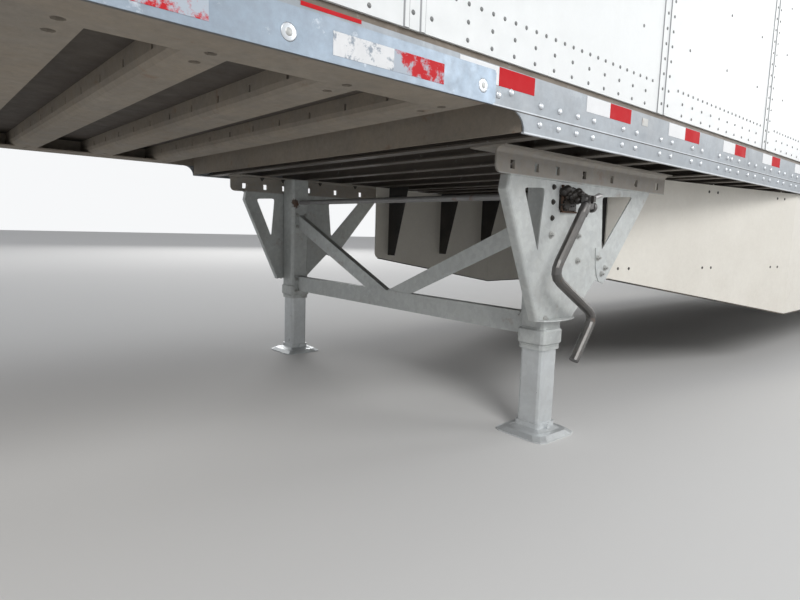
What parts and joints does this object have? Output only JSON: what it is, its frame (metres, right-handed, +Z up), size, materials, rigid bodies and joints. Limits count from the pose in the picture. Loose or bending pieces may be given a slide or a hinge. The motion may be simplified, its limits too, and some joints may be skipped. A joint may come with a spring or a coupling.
{
  "type": "semi trailer",
  "caption": "Dry-van semi trailer parked on its landing gear: sliding tandem bogie, dual wheels, twin swing doors, side skirts and a hollow cargo body.",
  "frame": {"origin": "centre of the bounding box at ground level, under the middle of the trailer", "axes": "+X runs back to the doors, +Z up, -Y is the driver's side"},
  "size_m": [16.154, 2.591, 4.115],
  "materials": {
    "wall_white": "white pre-painted sheet, road dust",
    "skirt_panel": "cream-white composite panel",
    "rail_aluminium": "weathered extruded aluminium",
    "galvanised": "hot-dip galvanised steel with dirt and some rust",
    "coupler_grey": "grey painted steel under tan road dirt",
    "dark_steel": "dark, greasy steel",
    "black_paint": "black chassis paint",
    "floor_wood": "laminated hardwood, dark brown below",
    "rubber": "black rubber sheet",
    "tyre": "road tyre rubber",
    "wheel_white": "white painted steel disc wheel",
    "lamp_red": "red lamp lens"
  },
  "bodies": {
    "trailer": {"ladder_frame": "rail_aluminium", "floor_deck": "floor_wood", "upper_coupler": "coupler_grey", "kingpin": "dark_steel", "front_wall": "wall_white", "side_wall_left": "wall_white", "side_wall_right": "wall_white", "top_rail_left": "rail_aluminium", "top_rail_right": "rail_aluminium", "roof": "wall_white", "nose_box": "dark_steel", "rear_frame": "wall_white", "rear_bumper": "galvanised", "tail_lamps_left": "lamp_red", "tail_lamps_right": "lamp_red", "header_lamps": "lamp_red", "leg_brace": "galvanised", "gearbox": "galvanised", "cross_shaft": "galvanised", "crank_handle": "dark_steel", "leg_outer_left": "galvanised", "leg_inner_left": "galvanised", "sand_shoe_left": "galvanised", "leg_bracket_left": "galvanised", "side_skirt_left": "skirt_panel", "body_rail_left": "black_paint", "leg_outer_right": "galvanised", "leg_inner_right": "galvanised", "sand_shoe_right": "galvanised", "leg_bracket_right": "galvanised", "side_skirt_right": "skirt_panel", "body_rail_right": "black_paint"},
    "bogie": {"bogie_frame": "black_paint", "axle_front": "black_paint", "axle_rear": "black_paint", "air_tank": "black_paint", "mud_flap_left": "rubber", "mud_flap_right": "rubber", "spring_front_left": "dark_steel", "spring_front_right": "dark_steel", "spring_rear_left": "dark_steel", "spring_rear_right": "dark_steel"},
    "left_door": {"door_left": "wall_white", "lock_rod_left": "galvanised"},
    "right_door": {"door_right": "wall_white", "lock_rod_right": "galvanised"},
    "wheels_front_left": {"dual_wheel_front_left": "wheel_white", "tyre_front_left_inner": "tyre", "tyre_front_left_outer": "tyre"},
    "wheels_front_right": {"dual_wheel_front_right": "wheel_white", "tyre_front_right_inner": "tyre", "tyre_front_right_outer": "tyre"},
    "wheels_rear_left": {"dual_wheel_rear_left": "wheel_white", "tyre_rear_left_inner": "tyre", "tyre_rear_left_outer": "tyre"},
    "wheels_rear_right": {"dual_wheel_rear_right": "wheel_white", "tyre_rear_right_inner": "tyre", "tyre_rear_right_outer": "tyre"}
  },
  "joints": [
    {"name": "tandem_slide", "type": "slide", "parent": "trailer", "child": "bogie", "axis": [1, 0, 0], "range_m": [-0.76, 1.65]},
    {"name": "spin_front_left", "type": "hinge", "parent": "bogie", "child": "wheels_front_left", "pos_m": [3.7805, -0.9835, 0.508], "axis": [0, 1, 0], "continuous": true},
    {"name": "spin_front_right", "type": "hinge", "parent": "bogie", "child": "wheels_front_right", "pos_m": [3.7805, 0.9835, 0.508], "axis": [0, 1, 0], "continuous": true},
    {"name": "spin_rear_left", "type": "hinge", "parent": "bogie", "child": "wheels_rear_left", "pos_m": [5.0255, -0.9835, 0.508], "axis": [0, 1, 0], "continuous": true},
    {"name": "spin_rear_right", "type": "hinge", "parent": "bogie", "child": "wheels_rear_right", "pos_m": [5.0255, 0.9835, 0.508], "axis": [0, 1, 0], "continuous": true},
    {"name": "door_left_swing", "type": "hinge", "parent": "trailer", "child": "left_door", "pos_m": [8.045, -1.2775, 2.6], "axis": [0, 0, -1], "range_deg": [0, 265]},
    {"name": "door_right_swing", "type": "hinge", "parent": "trailer", "child": "right_door", "pos_m": [8.045, 1.2775, 2.6], "axis": [0, 0, 1], "range_deg": [0, 265]}
  ]
}
